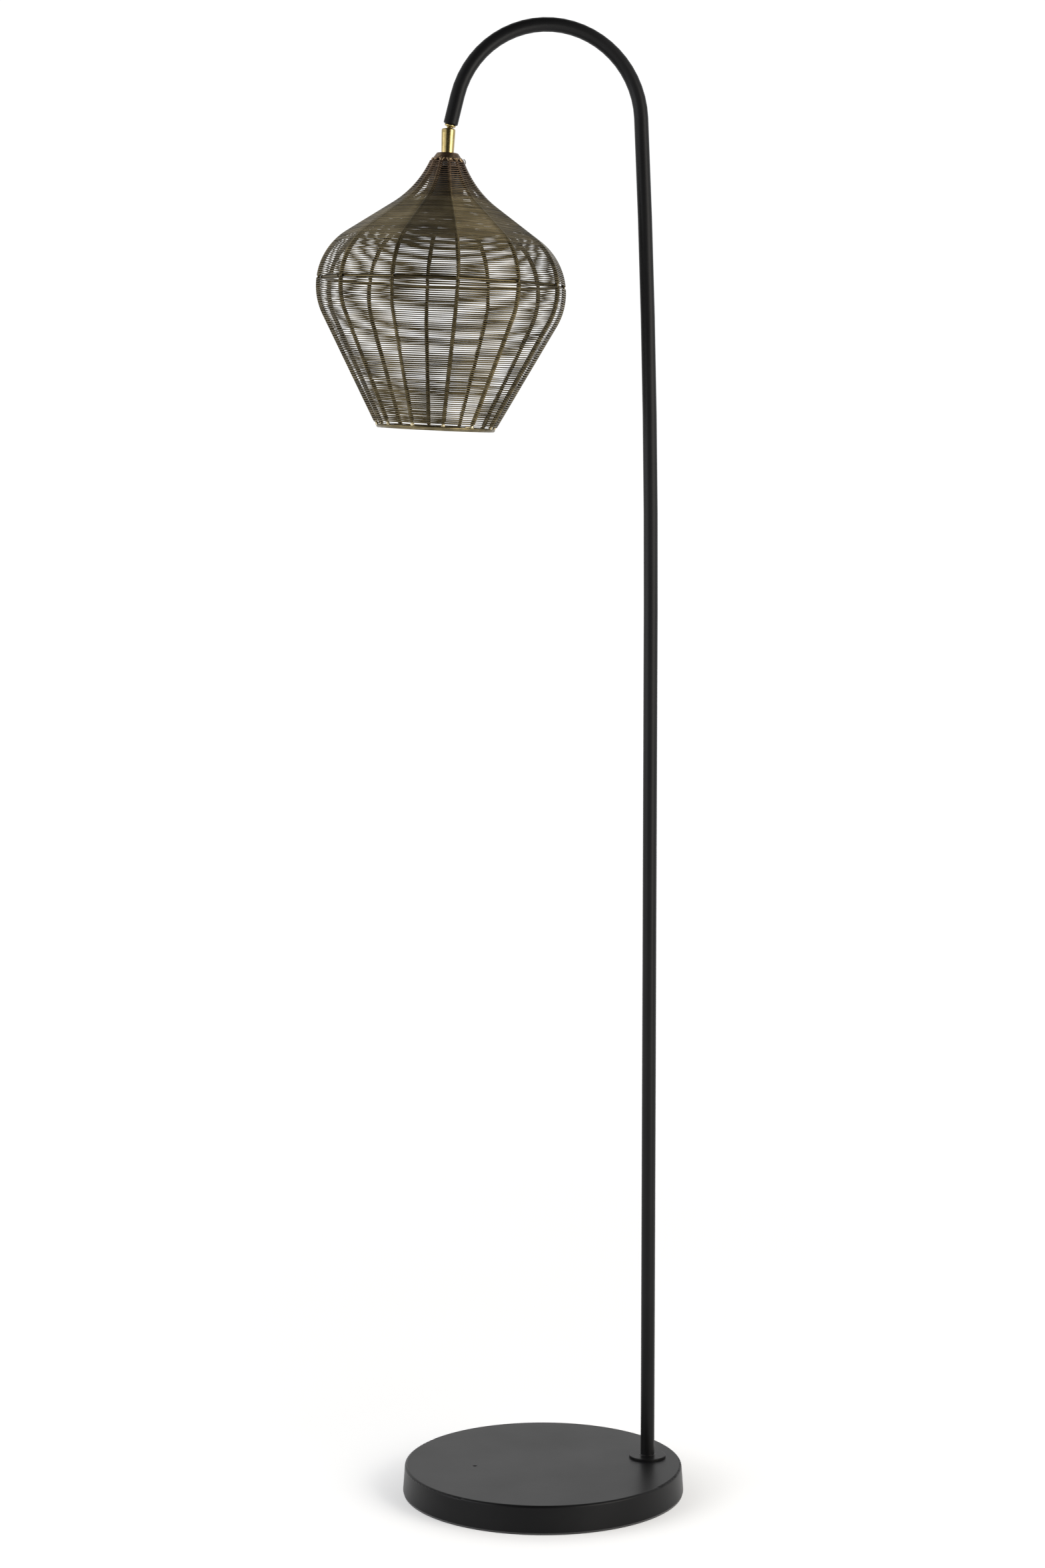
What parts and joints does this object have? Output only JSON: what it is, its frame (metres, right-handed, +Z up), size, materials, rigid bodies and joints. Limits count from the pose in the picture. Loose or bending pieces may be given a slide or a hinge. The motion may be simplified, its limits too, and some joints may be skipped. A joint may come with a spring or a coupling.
{
  "type": "floor lamp",
  "caption": "Arched floor lamp: a round weighted base, one bent tube as pole and arm, and a wire-wound cage shade that hangs from a brass ball joint.",
  "frame": {"origin": "centre of the round base, on the floor", "axes": "+Z up, +X from the centre of the base to the pole, so that the arm and the shade lie in the XZ plane, with the shade at -X"},
  "size_m": [0.4174, 0.324, 1.6735],
  "materials": {
    "black_coat": "matt black powder coat",
    "cast_iron": "rough casting",
    "zinc_steel": "zinc plated",
    "black_felt": "felt",
    "black_plastic": "matt",
    "satin_brass": "satin brushed",
    "lead_sheath": "matt",
    "white_nylon": "matt",
    "spring_steel": "bright",
    "bronze_sheet": "antique bronze, satin",
    "bronze_wire": "antique bronze plated, satin",
    "bronze_ring": "antique bronze plated, satin",
    "porcelain": "glazed",
    "nickel_brass": "nickel plated"
  },
  "bodies": {
    "stand": {"base_cover": "black_coat", "base_weight": "cast_iron", "base_plate": "zinc_steel", "base_pad": "black_felt", "base_screws": "zinc_steel", "cord_inlet_bush": "black_plastic", "clamp_washer": "zinc_steel", "clamp_nut": "zinc_steel", "foot_threaded_rod": "zinc_steel", "foot_plug": "zinc_steel", "pole_flange": "black_coat", "pole_and_arm": "black_coat", "arm_plug": "black_coat", "ball_stud": "satin_brass", "stand_lead": "lead_sheath"},
    "joint_liner": {"ball_liner": "white_nylon"},
    "joint_cup": {"seat_cup": "satin_brass"},
    "shade": {"swivel_socket": "satin_brass", "socket_plug": "satin_brass", "spring_washers": "spring_steel", "shade_threaded_rod": "zinc_steel", "shade_cap": "bronze_sheet", "rib_hub": "bronze_sheet", "hub_nut": "zinc_steel", "rib_01": "bronze_wire", "rib_02": "bronze_wire", "rib_03": "bronze_wire", "rib_04": "bronze_wire", "rib_05": "bronze_wire", "rib_06": "bronze_wire", "rib_07": "bronze_wire", "rib_08": "bronze_wire", "rib_09": "bronze_wire", "rib_10": "bronze_wire", "rib_11": "bronze_wire", "rib_12": "bronze_wire", "girdle_ring": "bronze_wire", "girdle_sleeve": "bronze_wire", "foot_ring": "bronze_ring", "wire_winding": "bronze_wire", "holder_cap": "black_plastic", "holder_skirt": "black_plastic", "holder_insert": "porcelain", "holder_screw_shell": "nickel_brass", "centre_contact": "nickel_brass", "shade_lead": "lead_sheath"}
  },
  "joints": [
    {"name": "shade_swing", "type": "hinge", "parent": "stand", "child": "joint_liner", "pos_m": [-0.10746, 0, 1.54554], "axis": [0, 1, 0], "range_deg": [-4, 28]},
    {"name": "shade_tilt", "type": "hinge", "parent": "joint_liner", "child": "joint_cup", "pos_m": [-0.10746, 0, 1.54554], "axis": [1, 0, 0], "range_deg": [-12, 12]},
    {"name": "shade_spin", "type": "hinge", "parent": "joint_cup", "child": "shade", "pos_m": [-0.10746, 0, 1.54554], "axis": [-0.0468, 0, -0.9989], "range_deg": [-170, 170]}
  ]
}
